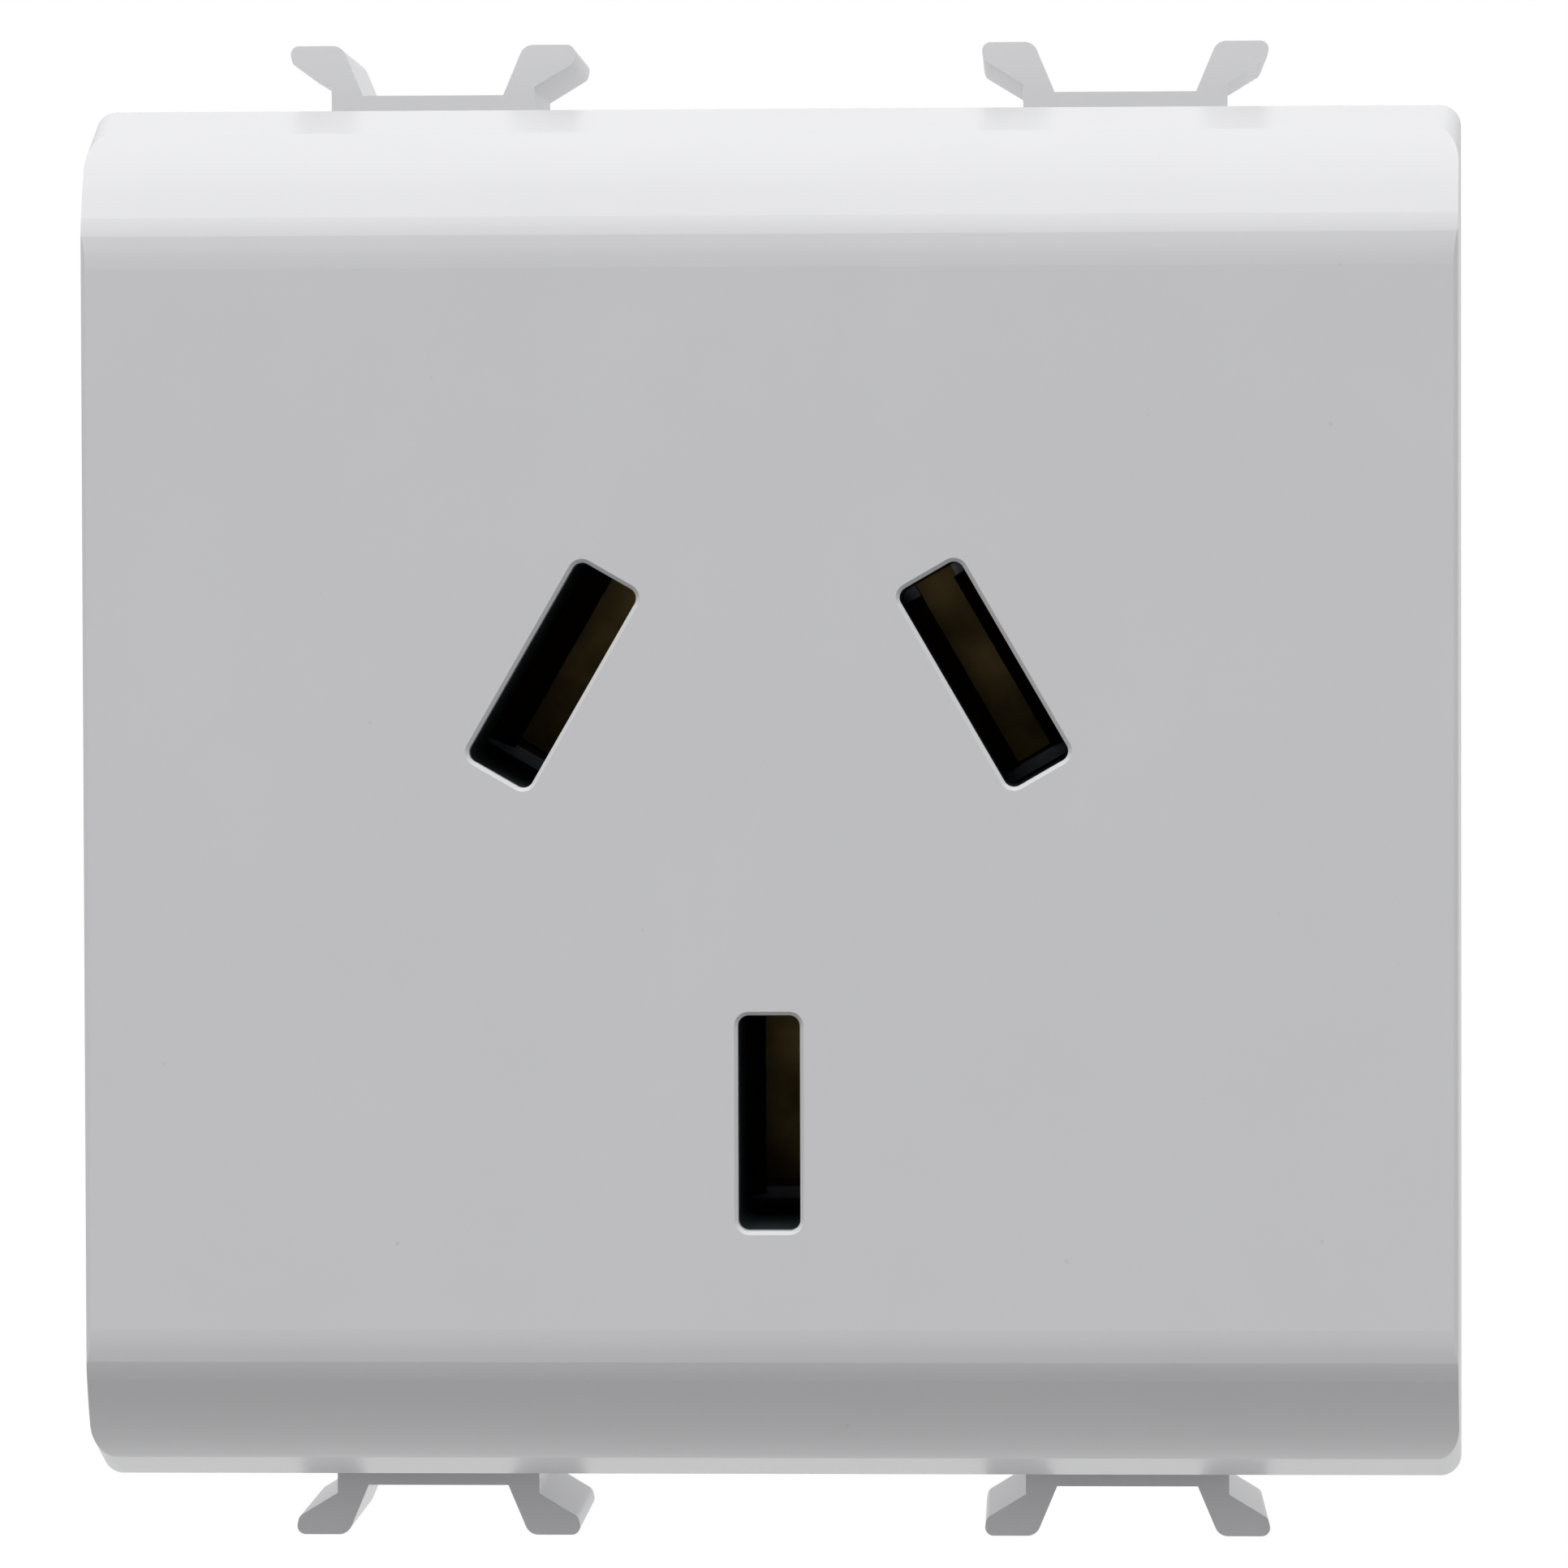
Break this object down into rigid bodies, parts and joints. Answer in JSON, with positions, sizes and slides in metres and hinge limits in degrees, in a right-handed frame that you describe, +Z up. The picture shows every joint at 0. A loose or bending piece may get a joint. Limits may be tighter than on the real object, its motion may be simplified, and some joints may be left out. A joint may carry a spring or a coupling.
{
  "type": "socket outlet",
  "caption": "Modular socket outlet for flat-blade plugs: square crowned cover with slanted and upright slots, snap ears above and below, and rear wire terminals.",
  "frame": {"origin": "the plug's centre on the flat front of the cover", "axes": "-Y out of the front towards the plug, +X to the right seen from the front, +Z up"},
  "size_m": [0.045, 0.0325, 0.0496],
  "materials": {
    "cover_plastic": "satin",
    "housing_plastic": "satin",
    "carrier_plastic": "matte",
    "contact_brass": "rolled",
    "terminal_brass": "machined",
    "rivet_brass": "turned",
    "spring_steel": "tempered",
    "screw_steel": "zinc plated"
  },
  "bodies": {
    "root": {"carrier_screw_left": "screw_steel", "carrier_screw_right": "screw_steel", "contact_carrier": "carrier_plastic", "earth_contact": "contact_brass", "earth_contact_spring": "spring_steel", "earth_rivet": "rivet_brass", "earth_terminal": "terminal_brass", "earth_terminal_screw": "screw_steel", "front_cover": "cover_plastic", "housing": "housing_plastic", "live_contact": "contact_brass", "live_contact_spring": "spring_steel", "live_rivet": "rivet_brass", "live_terminal": "terminal_brass", "live_terminal_screw": "screw_steel", "neutral_contact": "contact_brass", "neutral_contact_spring": "spring_steel", "neutral_rivet": "rivet_brass", "neutral_terminal": "terminal_brass", "neutral_terminal_screw": "screw_steel"}
  },
  "joints": []
}
